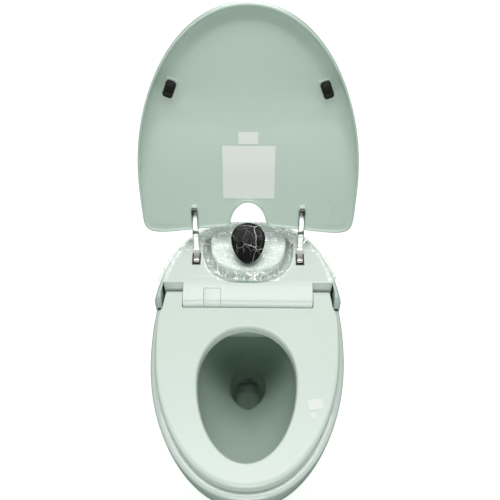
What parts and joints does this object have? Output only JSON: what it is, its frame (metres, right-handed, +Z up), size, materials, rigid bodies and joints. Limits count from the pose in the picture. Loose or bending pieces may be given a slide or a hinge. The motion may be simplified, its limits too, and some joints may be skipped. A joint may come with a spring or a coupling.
{
  "type": "electronic bidet toilet",
  "caption": "Egg-shaped floor-standing ceramic toilet with a plastic bidet seat unit, raised dished lid on two chrome arms, open oval seat, black flush head, wash wand, dryer and floor outlet.",
  "frame": {"origin": "centre of the waste outlet bore at floor level", "axes": "+Z up, -Y towards the user at the front, +X to the right seen from the front"},
  "size_m": [0.456, 0.6844, 0.9653],
  "materials": {
    "glaze": "smooth gloss pale mint glaze",
    "mint_plastic": "smooth gloss",
    "mint_light": "smooth gloss",
    "seat_plastic": "smooth satin gloss",
    "lid_plastic": "smooth satin gloss",
    "black_gloss": "mirror gloss black",
    "black_plastic": "moulded",
    "black_rubber": "soft matte",
    "seal_rubber": "matte",
    "chrome": "bright plated",
    "zinc_steel": "zinc plated",
    "brass": "turned",
    "foil": "thin foil",
    "white_plastic": "moulded",
    "grey_plastic": "moulded",
    "green_plastic": "moulded",
    "board_green": "circuit board",
    "sticker": "blank white film label",
    "clear_film": "clear wrinkled transit film"
  },
  "bodies": {
    "body": {"ceramic_body": "glaze", "waste_connector": "white_plastic", "outlet_seal": "seal_rubber", "floor_brackets": "zinc_steel", "floor_bolts": "zinc_steel", "side_screws": "zinc_steel", "chassis": "grey_plastic", "hinge_brackets": "zinc_steel", "rear_shell": "mint_plastic", "platform_tray": "mint_plastic", "deck_cover": "mint_light", "slot_collars": "black_plastic", "hatch_cover": "mint_light", "scent_cartridge": "green_plastic", "nozzle_bay": "mint_plastic", "wand_guide": "grey_plastic", "wand_motor": "zinc_steel", "dryer_duct": "grey_plastic", "fan_housing": "grey_plastic", "fan_motor": "zinc_steel", "heater_tank": "grey_plastic", "wash_pump": "grey_plastic", "inlet_valve": "white_plastic", "inlet_fitting": "brass", "flush_valve": "white_plastic", "flush_elbow": "seal_rubber", "control_box": "grey_plastic", "control_board": "board_green", "seat_bushes": "white_plastic", "seat_dampers": "grey_plastic", "lid_pins": "zinc_steel", "lid_dampers": "grey_plastic", "head_body": "black_plastic", "head_spring": "zinc_steel", "cord_gland": "white_plastic", "protective_film": "clear_film"},
    "lid": {"lid_shell": "lid_plastic", "lid_arms": "chrome", "lid_bumpers": "black_rubber", "bumper_screws": "zinc_steel", "lid_stickers": "sticker"},
    "seat": {"seat_shell": "seat_plastic", "seat_base": "mint_plastic", "seat_heater": "foil", "seat_buffers": "seal_rubber", "seat_pins": "zinc_steel", "seat_stickers": "sticker"},
    "wand": {"wash_wand": "white_plastic", "wand_gate": "mint_plastic"},
    "flap": {"dryer_flap": "mint_plastic"},
    "head": {"head_cap": "black_gloss"},
    "fan": {"fan_wheel": "white_plastic"}
  },
  "joints": [
    {"name": "lid_hinge", "type": "hinge", "parent": "body", "child": "lid", "pos_m": [0, 0.153, 0.4495], "axis": [1, 0, 0], "range_deg": [0, 112]},
    {"name": "seat_hinge", "type": "hinge", "parent": "body", "child": "seat", "pos_m": [0, 0.075, 0.4162], "axis": [1, 0, 0], "range_deg": [-95, 0]},
    {"name": "wand_slide", "type": "slide", "parent": "body", "child": "wand", "axis": [0, -0.9903, -0.1392], "range_m": [0, 0.074]},
    {"name": "dryer_flap_hinge", "type": "hinge", "parent": "body", "child": "flap", "pos_m": [0.031, -0.0026, 0.3962], "axis": [1, 0, 0], "range_deg": [-70, 0]},
    {"name": "head_press", "type": "slide", "parent": "body", "child": "head", "axis": [0, 0.5, -0.866], "range_m": [0, 0.0025], "stiffness_N_per_m": 800, "springref_m": -0.002},
    {"name": "fan_spin", "type": "hinge", "parent": "body", "child": "fan", "pos_m": [0.05, 0.172, 0.394], "axis": [0, 0, 1], "continuous": true}
  ]
}
